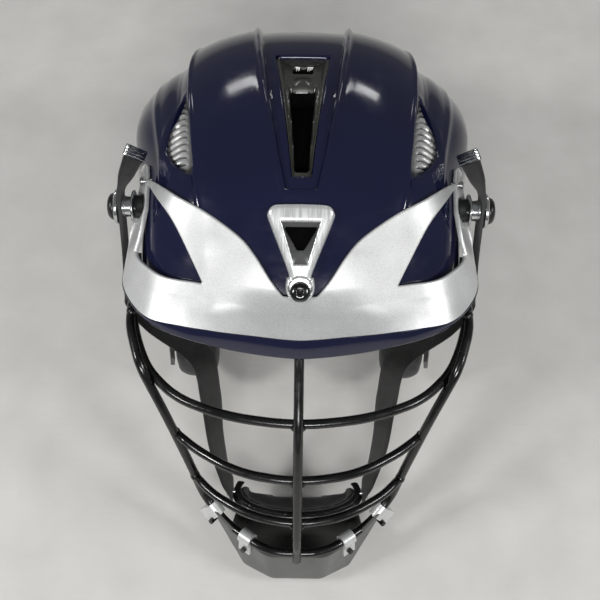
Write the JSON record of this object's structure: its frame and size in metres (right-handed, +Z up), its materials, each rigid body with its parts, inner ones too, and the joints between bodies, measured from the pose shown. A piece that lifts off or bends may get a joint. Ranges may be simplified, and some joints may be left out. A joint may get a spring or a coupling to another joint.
{
  "type": "lacrosse helmet",
  "caption": "Hard-shell lacrosse helmet with brim visor, wire face cage, chin guard, chin strap on snaps, foam liner and a rear fit adjuster.",
  "frame": {"origin": "on the surface that the helmet stands on, under the middle of its bounding box", "axes": "+Z up from the table, -Y towards the face cage, +X towards the wearer's left. The helmet stands on the back edge of its chin guard and on its nape rim, so its worn upright direction leans back about 27 degrees from +Z."},
  "size_m": [0.2292, 0.3582, 0.2195],
  "materials": {
    "navy_plastic": "gloss",
    "silver_plastic": "metallic silver lacquer",
    "badge_chrome": "bright satin",
    "steel": "nickel plated",
    "dark_plastic": "moulded",
    "cage_black": "black plastic coating on steel wire",
    "grey_plastic": "satin grey",
    "liner_foam": "ribbed silver-grey foam",
    "pad_cloth": "black padded cloth",
    "strap_web": "black webbing"
  },
  "bodies": {
    "helmet": {"outer_shell": "navy_plastic", "visor": "silver_plastic", "vent_badge": "badge_chrome", "badge_screw": "badge_chrome", "badge_nut": "steel", "visor_rivets": "steel", "side_clip_screws": "steel", "chin_guard_rivets": "steel", "chin_guard_clips": "steel", "ear_guard_screws": "steel", "ear_guard_nuts": "steel", "snap_stud_left": "steel", "snap_stud_right": "steel", "snap_stud_nuts": "steel", "badge_bezel": "dark_plastic", "top_channel": "dark_plastic", "side_clip_left": "dark_plastic", "side_clip_right": "dark_plastic", "ear_guard_left": "dark_plastic", "ear_guard_right": "dark_plastic", "dial_housing": "dark_plastic", "adjuster_bracket": "dark_plastic", "cage_rail": "cage_black", "cage_top_wire": "cage_black", "cage_centre_bar": "cage_black", "cage_bar_upper": "cage_black", "cage_bar_middle": "cage_black", "cage_bar_lower": "cage_black", "chin_guard": "grey_plastic", "front_liner": "liner_foam", "crown_liner_left": "liner_foam", "crown_liner_right": "liner_foam", "side_liner_left": "liner_foam", "side_liner_right": "liner_foam", "rear_liner_left": "liner_foam", "rear_liner_right": "liner_foam", "rear_top_liner": "liner_foam", "brow_pad": "pad_cloth", "jaw_pad_left": "pad_cloth", "jaw_pad_right": "pad_cloth"},
    "chin_strap": {"strap_band_left": "strap_web", "strap_band_right": "strap_web", "strap_tail_end_left": "steel", "strap_tail_end_right": "steel", "snap_socket_left": "steel", "snap_socket_right": "steel", "snap_cap_left": "dark_plastic", "snap_cap_right": "dark_plastic", "chin_cup": "dark_plastic", "chin_cup_pad": "pad_cloth", "chin_cup_rivets": "steel"},
    "fit_dial": {"fit_dial": "dark_plastic", "lead_screw": "steel"},
    "cradle": {"occipital_cradle": "dark_plastic", "cradle_guides": "dark_plastic", "cradle_pad": "pad_cloth"}
  },
  "joints": [
    {"name": "strap_swing", "type": "hinge", "parent": "helmet", "child": "chin_strap", "pos_m": [0, 0.0027, 0.17865], "axis": [1, 0, 0], "range_deg": [-4, 6]},
    {"name": "dial_turn", "type": "hinge", "parent": "helmet", "child": "fit_dial", "pos_m": [0, 0.16228, 0.04286], "axis": [0, 0.8932, -0.4497], "range_deg": [0, 720]},
    {"name": "cradle_slide", "type": "slide", "parent": "helmet", "child": "cradle", "axis": [0, -0.8932, 0.4497], "range_m": [0, 0.01]}
  ],
  "couplings": [
    {"joint": "cradle_slide", "follows": "dial_turn", "m_per_rad": 0.00079577}
  ]
}
